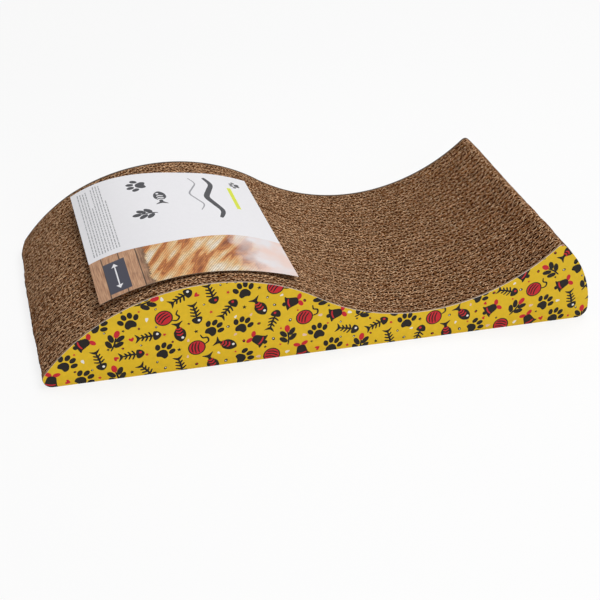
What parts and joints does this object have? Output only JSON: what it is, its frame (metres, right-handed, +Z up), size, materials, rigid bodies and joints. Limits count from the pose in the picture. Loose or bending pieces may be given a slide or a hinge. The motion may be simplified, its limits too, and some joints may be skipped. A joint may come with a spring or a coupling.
{
  "type": "cardboard cat scratcher",
  "caption": "Wave-shaped floor scratcher: corrugated board strips stood on edge between printed side panels, with a hump, a lounging dip, a raised tip and a loose card over the hump.",
  "frame": {"origin": "middle of the base, on the floor", "axes": "+X along the length towards the raised tip, +Y across the strips to the far panel, +Z up"},
  "size_m": [0.498, 0.22, 0.0852],
  "materials": {
    "corrugated_board": "raw kraft board, cut edges with open flutes",
    "printed_board": "printed outer liner, satin",
    "printed_card": "coated card, satin"
  },
  "bodies": {
    "scratcher": {"board_strip_01": "corrugated_board", "board_strip_02": "corrugated_board", "board_strip_03": "corrugated_board", "board_strip_04": "corrugated_board", "board_strip_05": "corrugated_board", "board_strip_06": "corrugated_board", "board_strip_07": "corrugated_board", "board_strip_08": "corrugated_board", "board_strip_09": "corrugated_board", "board_strip_10": "corrugated_board", "board_strip_11": "corrugated_board", "board_strip_12": "corrugated_board", "board_strip_13": "corrugated_board", "board_strip_14": "corrugated_board", "board_strip_15": "corrugated_board", "board_strip_16": "corrugated_board", "board_strip_17": "corrugated_board", "board_strip_18": "corrugated_board", "board_strip_19": "corrugated_board", "board_strip_20": "corrugated_board", "board_strip_21": "corrugated_board", "board_strip_22": "corrugated_board", "board_strip_23": "corrugated_board", "board_strip_24": "corrugated_board", "board_strip_25": "corrugated_board", "board_strip_26": "corrugated_board", "board_strip_27": "corrugated_board", "board_strip_28": "corrugated_board", "board_strip_29": "corrugated_board", "board_strip_30": "corrugated_board", "board_strip_31": "corrugated_board", "board_strip_32": "corrugated_board", "board_strip_33": "corrugated_board", "board_strip_34": "corrugated_board", "board_strip_35": "corrugated_board", "board_strip_36": "corrugated_board", "front_side_panel": "printed_board", "back_side_panel": "printed_board"},
    "card": {"product_card": "printed_card"}
  },
  "joints": [
    {"name": "card_lift", "type": "slide", "parent": "scratcher", "child": "card", "axis": [0, 0, 1], "range_m": [0, 0.1]}
  ]
}
